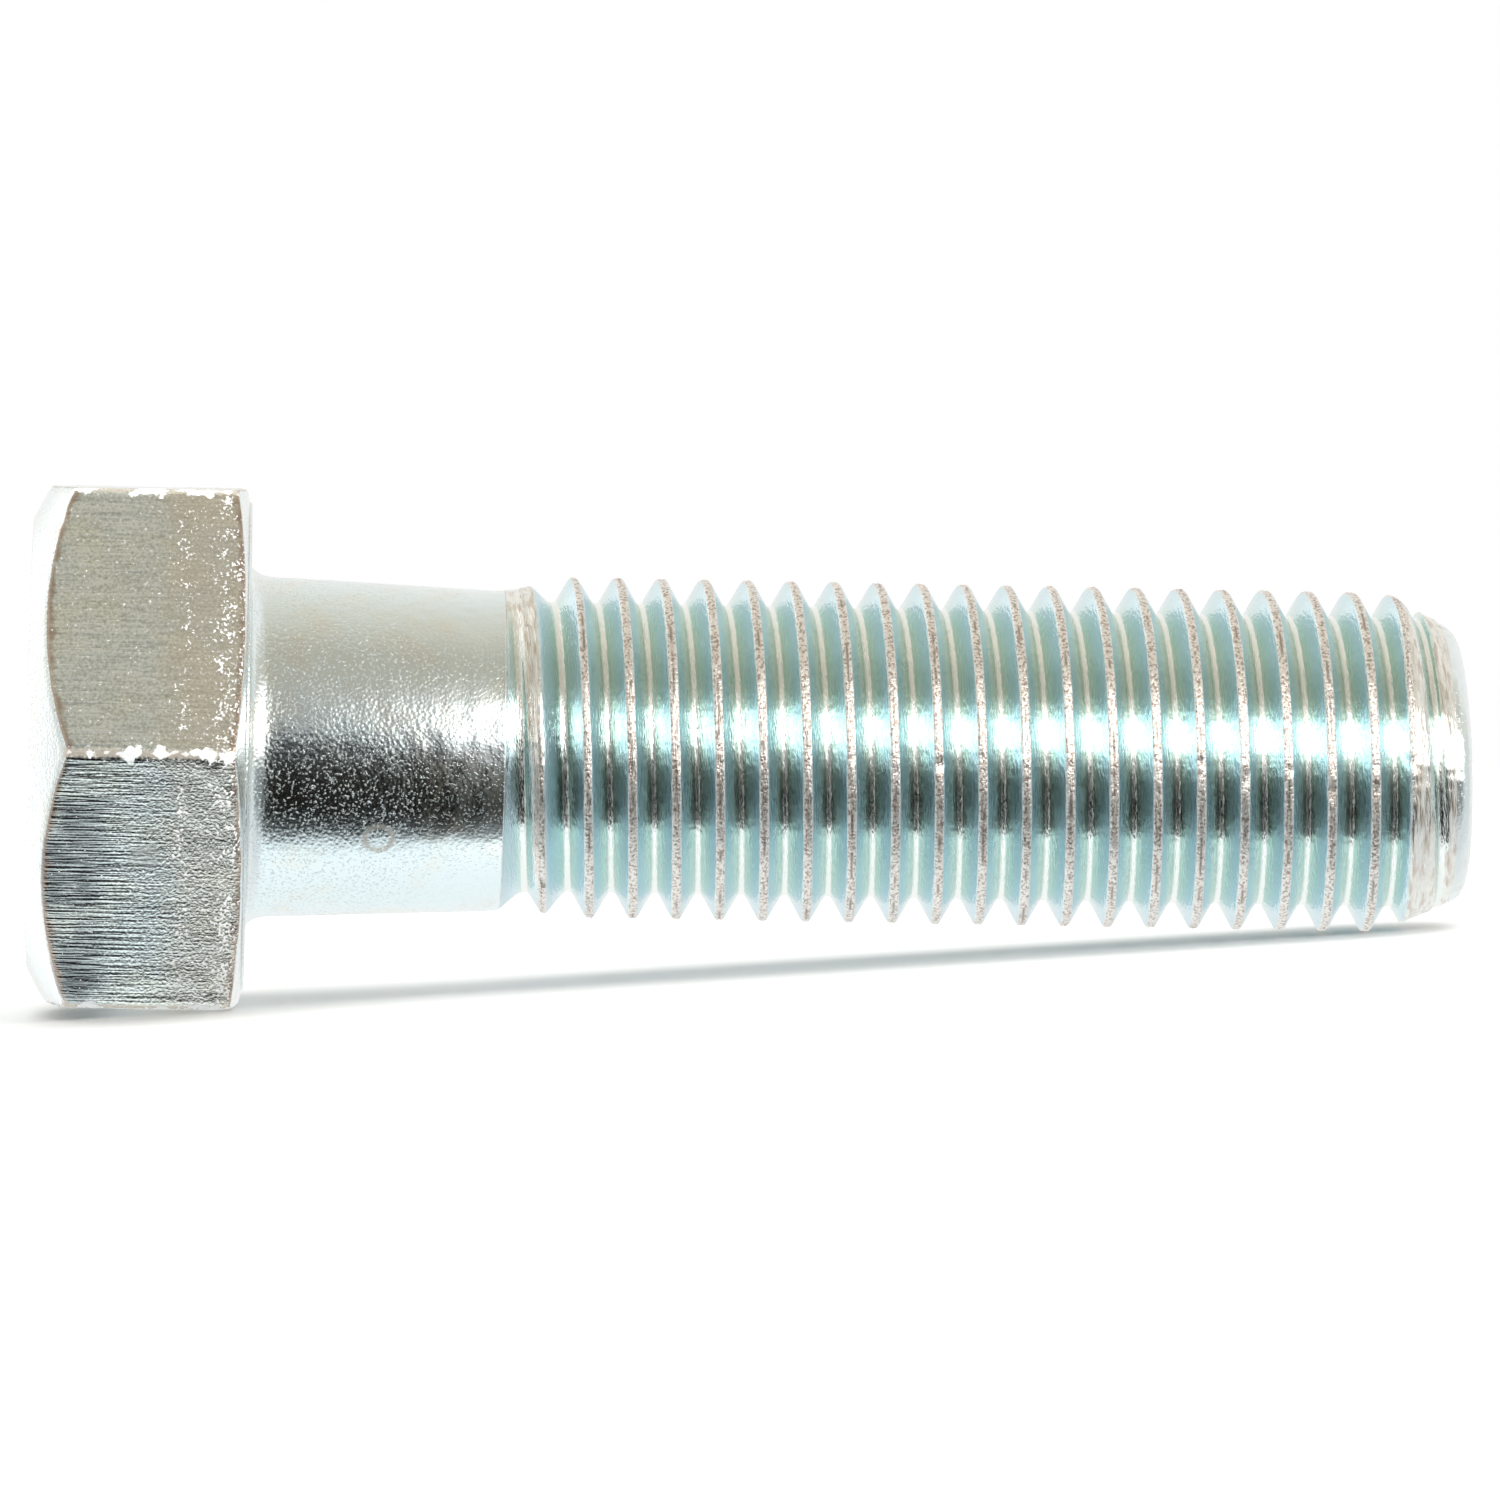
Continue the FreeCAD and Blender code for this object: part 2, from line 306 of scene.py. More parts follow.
# The whole surface is one grid, from the middle of the head's top to the middle of the end. Each part of it
# has a finish, its places along the bolt and its distances from the axis.
TRIMMED, FORMED, ROLLED = range(3)
parts = {
    "top face": (FORMED, *top_face),
    "chamfer": (FORMED, *chamfer),
    "flats": (TRIMMED, *flats),
    "back": (FORMED, *back),
    "washer face": (FORMED, *washer_face),
    "fillet": (FORMED, *fillet),
    "shank": (FORMED, *shank),
    "thread": (ROLLED, thread_x, thread_radius),
    "point rim": (FORMED, rim_x, rim_radius),
    "end": (FORMED, end_x, end_radius),
}
grid_x = np.vstack([x for _, x, _ in parts.values()])
grid_radius = np.vstack([radius for _, _, radius in parts.values()])
row_counts = [len(x) for _, x, _ in parts.values()]
row_finish = np.repeat([finish for finish, _, _ in parts.values()], row_counts)
on_thread = np.repeat([name == "thread" for name in parts], row_counts)
on_flats = np.repeat([name == "flats" for name in parts], row_counts)

# What the materials read from the surface, in millimetres or as a share.
FAR_FROM_RIM = 9.0
grid_across = np.full(grid_x.shape, PITCH / 2)
grid_across[on_thread] = across_groove
grid_crest = np.zeros(grid_x.shape)
grid_crest[on_thread] = crest_share
grid_blank = np.ones(grid_x.shape)
grid_blank[on_thread] = blank_share
rim_distance = np.full(grid_x.shape, FAR_FROM_RIM)
rim_distance[on_flats] = np.minimum(flat_x - start, end - flat_x)
corner_distance = np.abs(turn % (np.pi / 3) - np.pi / 6) * HALF_FLATS + 0 * grid_x

_, grid_y, grid_z = place(grid_x, grid_radius)
at_end = smooth(grid_x, POINT_START, high[0])
grid_x = grid_x + at_end * (CROP_LENGTH - CROP_SLOPE * grid_z)
grid_z = grid_z + OFF_CENTRE * smooth(grid_x, DIE_EDGE - 1, FIRST_GROOVE + 1)

count, width = grid_x.shape
corner = np.arange(count * width).reshape(count, width)
quads = np.stack([corner[:-1, :-1], corner[:-1, 1:], corner[1:, 1:], corner[1:, :-1]], axis=-1)
quads = quads.reshape(-1, 4)
mesh = bpy.data.meshes.new("forged_bolt")
points = np.stack([grid_x, grid_y, grid_z], axis=-1).reshape(-1, 3) * MM
mesh.from_pydata(points.tolist(), [], quads.tolist())
mesh.polygons.foreach_set("material_index", np.repeat(row_finish[1:], width - 1).astype(np.int32))
mesh.polygons.foreach_set("use_smooth", np.ones(len(quads), bool))
attributes = {
    "across_groove": grid_across,
    "crest": grid_crest,
    "blank": grid_blank,
    "rim_distance": rim_distance,
    "corner_distance": corner_distance,
}
for name, values in attributes.items():
    mesh.attributes.new(name, "FLOAT", "POINT").data.foreach_set("value", values.astype(np.float32).ravel())
merged = bmesh.new()
merged.from_mesh(mesh)
bmesh.ops.remove_doubles(merged, verts=merged.verts, dist=1e-6)
bmesh.ops.recalc_face_normals(merged, faces=merged.faces)
merged.to_mesh(mesh)
merged.free()
bolt = bpy.data.objects.new("forged_bolt", mesh)
bpy.context.scene.collection.objects.link(bolt)
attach(bolt, "root")
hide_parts("hex_bolt")


def linear(colour):
    """A '#rrggbb' sRGB colour as linear RGBA."""
    channels = np.array([int(colour[i : i + 2], 16) for i in (1, 3, 5)]) / 255
    channels = np.where(channels <= 0.04045, channels / 12.92, ((channels + 0.055) / 1.055) ** 2.4)
    return (*channels.tolist(), 1.0)


def add_node(tree, kind, settings, *values, **inputs):
    """Adds a node, sets its properties, and fills its inputs, in their order or by name with _ for a space.

    A value that is a socket or a node is linked, a node by the first of its outputs in use.
    """
    node = tree.nodes.new(kind)
    for name, value in settings.items():
        setattr(node, name, value)
    sockets = list(zip(node.inputs, values))
    for name, value in inputs.items():
        label = name.replace("_", " ")
        named = (socket for socket in node.inputs if socket.enabled and socket.name == label)
        sockets.append((next(named), value))
    for socket, value in sockets:
        if isinstance(value, bpy.types.Node):
            value = next(output for output in value.outputs if output.enabled)
        if isinstance(value, bpy.types.NodeSocket):
            tree.links.new(value, socket)
        else:
            socket.default_value = value
    return node


def new_material(name):
    """An empty material and its node tree."""
    material = bpy.data.materials.new(name)
    material.use_nodes = True
    material.node_tree.nodes.clear()
    return material, material.node_tree


# The kinds of node that are used most, and the settings that they share.
MATH, RANGE, MIX = "ShaderNodeMath", "ShaderNodeMapRange", "ShaderNodeMix"
NOISE, BUMP, PRINCIPLED = "ShaderNodeTexNoise", "ShaderNodeBump", "ShaderNodeBsdfPrincipled"
SMOOTH = {"interpolation_type": "SMOOTHSTEP"}
COLOURS = {"data_type": "RGBA"}
ADD, SUBTRACT, MULTIPLY = ({"operation": name} for name in ("ADD", "SUBTRACT", "MULTIPLY"))
MULTIPLY_ADD, ABSOLUTE = {"operation": "MULTIPLY_ADD"}, {"operation": "ABSOLUTE"}
MAXIMUM, DISTANCE, ARCTAN2 = ({"operation": name} for name in ("MAXIMUM", "DISTANCE", "ARCTAN2"))

# Steel sheared by the trimming die, under bright zinc: matt grey-green with short drag lines along the
# bolt, and darker in patches on the lower flat towards the head's top. The rims are brown burrs and the
# corners are bare and chipped, with a painted beige highlight along them. White specks, painted glints, sit
# on torn facets and on the chips, along the line where the shear turned into a tear and along the back rim.
# A rinse drop has dried there. The drag lines and the grit are drawn coarser than they are, so that they
# show.
STROKE_LENGTH, STROKE_WIDTH, STROKE_DEPTH = 2.6 * MM, 0.15 * MM, 0.042 * MM
GRIT_SIZE, GRIT_DEPTH, SPECK_DEPTH = 0.17 * MM, 0.045 * MM, 0.03 * MM
LUMP_SIZE, CLOUD_SIZE, WANDER = 0.9 * MM, 3.5 * MM, 2.0 * MM
TEAR_LINE, BACK_TEAR = -3.6 * MM, -1.4 * MM
CHIPS_START, CHIPS_FULL = -8.0 * MM, -4.5 * MM
BROWN_START, BROWN_FULL = -5.0 * MM, -2.5 * MM
DARKENING_START, DARKENING_FULL = -5.5 * MM, -8.5 * MM
DRAG_FADES, DRAG_ENDS = -8.5 * MM, -1.5 * MM
DRIED_DROP, DROP_RADIUS = Vector((-5.7, -13.66, -5.94)) * MM, 1.0 * MM
material, tree = new_material("trimmed_zinc")
place_at = add_node(tree, "ShaderNodeTexCoord", {}).outputs["Object"]
axes = add_node(tree, "ShaderNodeSeparateXYZ", {}, place_at)
along, height = axes.outputs["X"], axes.outputs["Z"]
rim = add_node(tree, "ShaderNodeAttribute", {"attribute_name": "rim_distance"}).outputs["Fac"]
corner_at = add_node(tree, "ShaderNodeAttribute", {"attribute_name": "corner_distance"}).outputs["Fac"]
stroke_scale = (1 / STROKE_LENGTH, 1 / STROKE_WIDTH, 1 / STROKE_WIDTH)
stroke_at = add_node(tree, "ShaderNodeMapping", {}, place_at, Scale=stroke_scale)
strokes = add_node(tree, NOISE, {}, Vector=stroke_at, Scale=1.0, Detail=1.0)
cloud = add_node(tree, NOISE, {}, Vector=place_at, Scale=1 / CLOUD_SIZE, Detail=3.0)
lumps = add_node(tree, NOISE, {}, Vector=place_at, Scale=1 / LUMP_SIZE, Detail=3.0)
grit = add_node(tree, NOISE, {}, Vector=place_at, Scale=1 / GRIT_SIZE, Detail=2.0)

wander = add_node(tree, MATH, MULTIPLY_ADD, lumps, WANDER, along)
from_line = add_node(tree, MATH, SUBTRACT, wander, TEAR_LINE + WANDER / 2)
behind_line = add_node(tree, RANGE, SMOOTH, from_line, -0.5 * MM, 0.5 * MM, 0.0, 1.0)
from_line = add_node(tree, MATH, ABSOLUTE, from_line)
on_line = add_node(tree, RANGE, SMOOTH, from_line, 0.1 * MM, 0.7 * MM, 0.85, 0.0)
at_back = add_node(tree, RANGE, SMOOTH, wander, BACK_TEAR, BACK_TEAR + 1.2 * MM, 0.35, 1.0)
at_back = add_node(tree, MATH, MULTIPLY, at_back, behind_line)
# Chips along the corners, painted white: painted glints.
chip_size = add_node(tree, RANGE, SMOOTH, wander, CHIPS_START, CHIPS_FULL, 0.53, 0.46)
chip_size = add_node(tree, MATH, SUBTRACT, lumps, chip_size)
chip_glints = add_node(tree, MATH, MULTIPLY_ADD, chip_size, -3.0, corner_at)
chip_glints = add_node(tree, RANGE, SMOOTH, chip_glints, -0.06, 0.06, 1.0, 0.0)
# White specks on torn facets, painted glints: white, rougher and less metallic.
density = add_node(tree, MATH, MAXIMUM, on_line, at_back)
clumps = add_node(tree, RANGE, SMOOTH, lumps, 0.4, 0.6, 0.3, 1.25)
density = add_node(tree, MATH, MULTIPLY, density, clumps)
speckled = add_node(tree, MATH, MULTIPLY_ADD, density, 0.14, grit)
glint_specks = add_node(tree, RANGE, SMOOTH, speckled, 0.7, 0.74, 0.0, 1.0)
glint_specks = add_node(tree, MATH, MAXIMUM, glint_specks, chip_glints)
# A light beige line along the corners, less metallic: bare corners with a painted highlight.
bare_corner_highlight = add_node(tree, MATH, MULTIPLY_ADD, grit, -0.3, corner_at)
bare_corner_highlight = add_node(tree, RANGE, SMOOTH, bare_corner_highlight, -0.05, 0.15, 0.9, 0.0)

brown = add_node(tree, RANGE, SMOOTH, wander, BROWN_START, BROWN_FULL, 0.0, 0.45)
ragged = add_node(tree, MATH, MULTIPLY_ADD, lumps, -1.1, rim)
burr = add_node(tree, RANGE, SMOOTH, ragged, -0.4, 0.0, 0.8, 0.0)
drop = add_node(tree, "ShaderNodeVectorMath", DISTANCE, place_at, DRIED_DROP).outputs["Value"]
drop = add_node(tree, RANGE, SMOOTH, drop, 0.6 * DROP_RADIUS, 1.2 * DROP_RADIUS, 0.35, 0.0)
colour = add_node(tree, RANGE, SMOOTH, cloud, 0.4, 0.65, 0.0, 1.0)
colour = add_node(tree, MIX, COLOURS, colour, A=linear("#eff4f1"), B=linear("#f4f4ea"))
grain = add_node(tree, MATH, MULTIPLY_ADD, strokes, 0.5, grit)
grain = add_node(tree, RANGE, {}, grain, 0.45, 1.05, 0.6, 1.36)
colour = add_node(tree, "ShaderNodeVectorMath", MULTIPLY, colour, grain)
# Darker in patches on the lower flat, towards the head's top.
lower_darkening = add_node(tree, RANGE, SMOOTH, wander, DARKENING_START, DARKENING_FULL, 0.0, 0.8)
below = add_node(tree, RANGE, SMOOTH, height, -1.0 * MM, -2.0 * MM, 0.0, 1.0)
lower_darkening = add_node(tree, MATH, MULTIPLY, lower_darkening, below)
darkening_patches = add_node(tree, RANGE, SMOOTH, cloud, 0.35, 0.6, 1.0, 0.3)
lower_darkening = add_node(tree, MATH, MULTIPLY, lower_darkening, darkening_patches)
colour = add_node(tree, MIX, COLOURS, lower_darkening, A=colour, B=linear("#8c8d8c"))
colour = add_node(tree, MIX, COLOURS, brown, A=colour, B=linear("#ebdccb"))
colour = add_node(tree, MIX, COLOURS, burr, A=colour, B=linear("#b9a190"))
colour = add_node(tree, MIX, COLOURS, drop, A=colour, B=linear("#d8d0c6"))
colour = add_node(tree, MIX, COLOURS, bare_corner_highlight, A=colour, B=linear("#d3c8ba"))
colour = add_node(tree, MIX, COLOURS, glint_specks, A=colour, B=linear("#ffffff"))
dragged = add_node(tree, RANGE, SMOOTH, wander, DRAG_FADES, DRAG_ENDS, 1.0, 0.3)
grainy = add_node(tree, RANGE, {}, dragged, 0.3, 1.0, 1.0, 0.3)
roughness = add_node(tree, RANGE, {}, dragged, 0.3, 1.0, 0.22, 0.16)
roughness = add_node(tree, MATH, MULTIPLY_ADD, glint_specks, 0.4, roughness)
roughness = add_node(tree, MATH, MULTIPLY_ADD, drop, 0.3, roughness)
matt = add_node(tree, MATH, MAXIMUM, glint_specks, bare_corner_highlight)
metal = add_node(tree, RANGE, {}, matt, 0.0, 1.0, 1.0, 0.3)
normal = add_node(tree, BUMP, {}, Strength=dragged, Distance=STROKE_DEPTH, Height=strokes)
normal = add_node(tree, BUMP, {}, Strength=grainy, Distance=GRIT_DEPTH, Height=grit, Normal=normal)
normal = add_node(tree, BUMP, {}, Strength=0.6, Distance=SPECK_DEPTH, Height=glint_specks, Normal=normal)
shader = add_node(tree, PRINCIPLED, {}, Base_Color=colour, Metallic=metal, Roughness=roughness, Normal=normal)
add_node(tree, "ShaderNodeOutputMaterial", {}, shader)
mesh.materials.append(material)

# The wire's own drawn skin and the die-formed faces, under bright zinc: satin bright, finely pitted under
# the head and closed up smooth where the extrusion ironed it. A ring of rinse water has dried on its lower
# side.
PEEL_SIZE, PEEL_DEPTH = 0.22 * MM, 0.017 * MM
PIT_SIZE, PIT_DEPTH = 0.16 * MM, 0.02 * MM
SKIN_CLOUD, SKIN_WANDER = 3.0 * MM, 5.0 * MM
IRONING_START, IRONING_FULL = 8.5 * MM, 14.5 * MM
SHANK_DROP = Vector((7.5, -8.23, -4.85)) * MM
material, tree = new_material("formed_zinc")
place_at = add_node(tree, "ShaderNodeTexCoord", {}).outputs["Object"]
along = add_node(tree, "ShaderNodeSeparateXYZ", {}, place_at).outputs["X"]
cells = {"feature": "SMOOTH_F1"}
peel = add_node(tree, "ShaderNodeTexVoronoi", cells, Vector=place_at, Scale=1 / PEEL_SIZE, Smoothness=0.6)
pits = add_node(tree, NOISE, {}, Vector=place_at, Scale=1 / PIT_SIZE, Detail=1.0)
cloud = add_node(tree, NOISE, {}, Vector=place_at, Scale=1 / SKIN_CLOUD, Detail=3.0)
open_pits = add_node(tree, RANGE, SMOOTH, pits, 0.6, 0.68, 0.0, 1.0)
wander = add_node(tree, MATH, MULTIPLY_ADD, cloud, SKIN_WANDER, along)
ironed = add_node(tree, RANGE, SMOOTH, wander, IRONING_START, IRONING_FULL, 1.0, 0.45)
drop = add_node(tree, "ShaderNodeVectorMath", DISTANCE, place_at, SHANK_DROP).outputs["Value"]
drop = add_node(tree, MATH, SUBTRACT, drop, 0.8 * DROP_RADIUS)
drop = add_node(tree, MATH, ABSOLUTE, drop)
drop = add_node(tree, MATH, MULTIPLY_ADD, pits, 0.5 * MM, drop)
drop = add_node(tree, RANGE, SMOOTH, drop, 0.3 * MM, 0.5 * MM, 0.7, 0.0)
colour = add_node(tree, RANGE, SMOOTH, cloud, 0.45, 0.7, 0.0, 0.6)
colour = add_node(tree, MIX, COLOURS, colour, A=linear("#e9efee"), B=linear("#ebe8de"))
colour = add_node(tree, MIX, COLOURS, drop, A=colour, B=linear("#d5cabc"))
roughness = add_node(tree, RANGE, {}, ironed, 0.45, 1.0, 0.18, 0.2)
roughness = add_node(tree, MATH, MULTIPLY_ADD, drop, 0.3, roughness)
normal = add_node(tree, BUMP, {}, Strength=ironed, Distance=PEEL_DEPTH, Height=peel)
normal = add_node(tree, BUMP, {}, Strength=ironed, Distance=PIT_DEPTH, Height=open_pits, Normal=normal)
shader = add_node(tree, PRINCIPLED, {}, Base_Color=colour, Metallic=1.0, Roughness=roughness, Normal=normal)
add_node(tree, "ShaderNodeOutputMaterial", {}, shader)
mesh.materials.append(material)

# The rolled thread under bright zinc with a blue passivation, which each reflection from flank to flank
# deepens. The dies burnished the flanks and left hairlines along the groove. The crests are raw, pinkish
# and speckled, and the blank's skin at both ends is streaked. The hairlines are drawn coarser than they
# are, so that they show.
HAIR_WIDTH, HAIR_LENGTH, HAIR_DEPTH = 0.09, 0.55 * MM, 0.045 * MM
STREAK_SCALE, STREAK_DEPTH = 0.35, 0.1 * MM
SPECKLE_SIZE, SPECKLE_DEPTH = 0.17 * MM, 0.06 * MM
TINT_SIZE = 2.5 * MM
material, tree = new_material("rolled_zinc")
place_at = add_node(tree, "ShaderNodeTexCoord", {}).outputs["Object"]
axes = add_node(tree, "ShaderNodeSeparateXYZ", {}, place_at)
across = add_node(tree, "ShaderNodeAttribute", {"attribute_name": "across_groove"}).outputs["Fac"]
crest = add_node(tree, "ShaderNodeAttribute", {"attribute_name": "crest"}).outputs["Fac"]
hair_x = add_node(tree, MATH, MULTIPLY, across, 1 / HAIR_WIDTH)
hair_y = add_node(tree, MATH, MULTIPLY, axes.outputs["Y"], 1 / HAIR_LENGTH)
hair_z = add_node(tree, MATH, ADD, axes.outputs["Z"], axes.outputs["X"])
hair_z = add_node(tree, MATH, MULTIPLY, hair_z, 1 / HAIR_LENGTH)
hair_at = add_node(tree, "ShaderNodeCombineXYZ", {}, hair_x, hair_y, hair_z)
hairs = add_node(tree, NOISE, {}, Vector=hair_at, Scale=1.0, Detail=2.0)
speckle = add_node(tree, NOISE, {}, Vector=place_at, Scale=1 / SPECKLE_SIZE, Detail=3.0)
tint = add_node(tree, NOISE, {}, Vector=place_at, Scale=1 / TINT_SIZE, Detail=3.0)
root = add_node(tree, RANGE, SMOOTH, across, 0.12, 0.24, 1.0, 0.0)
green = add_node(tree, RANGE, SMOOTH, across, 0.2, 0.75, 1.0, 0.0)
colour = add_node(tree, MIX, COLOURS, tint, A=linear("#c5dde2"), B=linear("#cee1e5"))
colour = add_node(tree, MIX, COLOURS, green, A=colour, B=linear("#c9ded7"))
colour = add_node(tree, MIX, COLOURS, root, A=colour, B=linear("#f2f1ea"))
ragged = add_node(tree, MATH, ADD, crest, speckle)
crest = add_node(tree, RANGE, SMOOTH, ragged, 0.85, 1.1, 0.0, 1.0)
crest_colour = add_node(tree, RANGE, SMOOTH, speckle, 0.36, 0.54, 0.0, 1.0)
crest_colour = add_node(tree, MIX, COLOURS, crest_colour, A=linear("#b3a398"), B=linear("#f4ece4"))
blank = add_node(tree, "ShaderNodeAttribute", {"attribute_name": "blank"}).outputs["Fac"]
streaks = add_node(tree, NOISE, {}, Vector=hair_at, Scale=STREAK_SCALE, Detail=2.0)
dull = add_node(tree, RANGE, SMOOTH, streaks, 0.45, 0.7, 0.0, 0.8)
blank_colour = add_node(tree, MIX, COLOURS, dull, A=linear("#efece4"), B=linear("#c9b6a4"))
colour = add_node(tree, MIX, COLOURS, blank, A=colour, B=blank_colour)
colour = add_node(tree, MIX, COLOURS, crest, A=colour, B=crest_colour)
seam = add_node(tree, MATH, MULTIPLY_ADD, speckle, 0.3, across)
seam = add_node(tree, RANGE, SMOOTH, seam, PITCH / 2 + 0.07, PITCH / 2 + 0.12, 0.0, 1.0)
open_seam = add_node(tree, RANGE, SMOOTH, tint, 0.53, 0.61, 0.0, 0.6)
open_seam = add_node(tree, MATH, MULTIPLY, open_seam, crest)
seam = add_node(tree, MATH, MULTIPLY, seam, open_seam)
colour = add_node(tree, MIX, COLOURS, seam, A=colour, B=linear("#54483f"))
roughness = add_node(tree, RANGE, {}, across, 0.3, 1.0, 0.08, 0.28)
roughness = add_node(tree, MIX, {}, crest, A=roughness, B=0.34)
raw = add_node(tree, MATH, MULTIPLY, crest, 0.9)
normal = add_node(tree, BUMP, {}, Strength=1.0, Distance=HAIR_DEPTH, Height=hairs)
normal = add_node(tree, BUMP, {}, Strength=blank, Distance=STREAK_DEPTH, Height=streaks, Normal=normal)
normal = add_node(tree, BUMP, {}, Strength=raw, Distance=SPECKLE_DEPTH, Height=speckle, Normal=normal)
shader = add_node(tree, PRINCIPLED, {}, Base_Color=colour, Metallic=1.0, Roughness=roughness, Normal=normal)
add_node(tree, "ShaderNodeOutputMaterial", {}, shader)
mesh.materials.append(material)

# STUDIO. A plain white table in a white room, whose brightness changes round the bolt's axis. The bolt lies
# on the edge of its head and on a crest of its thread, so the table slopes against its axis.
REST_HEAD = (back_chamfer(HALF_FLATS), -HALF_FLATS)
REST_CREST = (FIRST_GROOVE + 19.5 * PITCH, OFF_CENTRE - CREST_RADIUS)
TABLE_LEFT, TABLE_RIGHT = -1500, 100
TABLE_NEAR, TABLE_FAR = -1500, 800
CARD_PATCH = 30 * MM
slope = (REST_CREST[1] - REST_HEAD[1]) / (REST_CREST[0] - REST_HEAD[0])
table_corners = (
    (TABLE_LEFT, TABLE_NEAR),
    (TABLE_RIGHT, TABLE_NEAR),
    (TABLE_RIGHT, TABLE_FAR),
    (TABLE_LEFT, TABLE_FAR),
)
table_points = [
    (x * MM, y * MM, (REST_HEAD[1] + slope * (x - REST_HEAD[0])) * MM) for x, y in table_corners
]
table_mesh = bpy.data.meshes.new("table")
table_mesh.from_pydata(table_points, [], [(0, 1, 2, 3)])
table = bpy.data.objects.new("table", table_mesh)
bpy.context.scene.collection.objects.link(table)
table.visible_glossy = False
material, tree = new_material("white_card")
place_at = add_node(tree, "ShaderNodeTexCoord", {}).outputs["Object"]
card = add_node(tree, NOISE, {}, Vector=place_at, Scale=1 / CARD_PATCH)
card_colour = add_node(tree, MIX, COLOURS, card, A=linear("#f6f6f6"), B=linear("#fafafa"))
shader = add_node(tree, PRINCIPLED, {}, Base_Color=card_colour, Roughness=0.9)
add_node(tree, "ShaderNodeOutputMaterial", {}, shader)
table_mesh.materials.append(material)

# The room's colour and brightness by the angle round the bolt's axis in degrees: 0 is the near side and 90
# is above, with a dark gap below 0. The end towards the head is even, and the end towards the point has a
# window.
ROOM = (
    (-180, "#ffffff", 1.0),
    (-130, "#f4fcff", 1.1),
    (-100, "#f2fbff", 1.15),
    (-82, "#f2fbff", 1.22),
    (-74, "#eefaff", 1.22),
    (-66, "#eefaff", 1.0),
    (-62, "#f0f8ff", 0.14),
    (-56, "#e8f0f0", 0.05),
    (-42, "#a09080", 0.008),
    (-16, "#a09080", 0.012),
    (0, "#f0f8ff", 0.035),
    (7, "#f4fcff", 0.11),
    (14, "#f4fcff", 0.37),
    (38, "#f6f6ee", 0.48),
    (52, "#f8f4e4", 0.51),
    (70, "#f8f4e4", 0.53),
    (100, "#fbf8ea", 0.74),
    (135, "#fbfdf8", 0.92),
    (180, "#ffffff", 1.0),
)
HEAD_END = (
    (-180, "#ffffff", 1.4),
    (-110, "#fafdff", 1.2),
    (-70, "#f0f8ff", 0.8),
    (-45, "#e8f4f8", 0.7),
    (-10, "#e8f4f8", 0.65),
    (30, "#f4f6f0", 0.75),
    (80, "#f8f8f0", 0.8),
    (120, "#ffffff", 1.2),
    (180, "#ffffff", 1.4),
)
POINT_END = (
    (-180, "#ffffff", 1.0),
    (-110, "#fafdff", 0.95),
    (-70, "#f0f8ff", 0.8),
    (-45, "#e8f4f8", 0.3),
    (-12, "#e8f4f8", 0.2),
    (2, "#ffffff", 1.3),
    (34, "#ffffff", 1.3),
    (50, "#f8f8ee", 0.5),
    (80, "#f8f8ee", 0.65),
    (110, "#ffffff", 0.95),
    (180, "#ffffff", 1.0),
)


def round_the_axis(tree, place_at, stages):
    """A colour ramp over a place's angle round the bolt's axis: each stage's degrees, colour and level."""
    axes = add_node(tree, "ShaderNodeSeparateXYZ", {}, place_at)
    towards = add_node(tree, MATH, MULTIPLY, axes.outputs["Y"], -1.0)
    around = add_node(tree, MATH, ARCTAN2, axes.outputs["Z"], towards)
    around = add_node(tree, RANGE, {}, around, -math.pi, math.pi, 0.0, 1.0)
    ramp = add_node(tree, "ShaderNodeValToRGB", {}, around)
    stops = ramp.color_ramp.elements
    stops.remove(stops[1])
    for i, (degrees, colour, level) in enumerate(stages):
        stop = stops[0] if i == 0 else stops.new((degrees + 180) / 360)
        stop.position = (degrees + 180) / 360
        stop.color = (*(channel * level for channel in linear(colour)[:3]), 1)
    return ramp


world = bpy.data.worlds.new("white_room")
bpy.context.scene.world = world
world.use_nodes = True
tree = world.node_tree
tree.nodes.clear()
direction = add_node(tree, "ShaderNodeTexCoord", {}).outputs["Generated"]
sideways = add_node(tree, "ShaderNodeSeparateXYZ", {}, direction).outputs["X"]
head_share = add_node(tree, RANGE, SMOOTH, sideways, -0.25, -0.55, 0.0, 1.0)
point_share = add_node(tree, RANGE, SMOOTH, sideways, 0.25, 0.55, 0.0, 1.0)
pole_share = add_node(tree, MATH, ABSOLUTE, sideways)
pole_share = add_node(tree, RANGE, SMOOTH, pole_share, 0.8, 0.98, 0.0, 1.0)
middle, head_end, point_end = (
    round_the_axis(tree, direction, stages) for stages in (ROOM, HEAD_END, POINT_END)
)
room = add_node(tree, MIX, COLOURS, head_share, A=middle, B=head_end)
room = add_node(tree, MIX, COLOURS, point_share, A=room, B=point_end)
room = add_node(tree, MIX, COLOURS, pole_share, A=room, B=linear("#e0e4e4"))
seen = add_node(tree, "ShaderNodeLightPath", {}).outputs["Is Camera Ray"]
room = add_node(tree, MIX, COLOURS, seen, A=room, B=linear("#ffffff"))
background = add_node(tree, "ShaderNodeBackground", {}, room, 1.0)
add_node(tree, "ShaderNodeOutputWorld", {}, background)

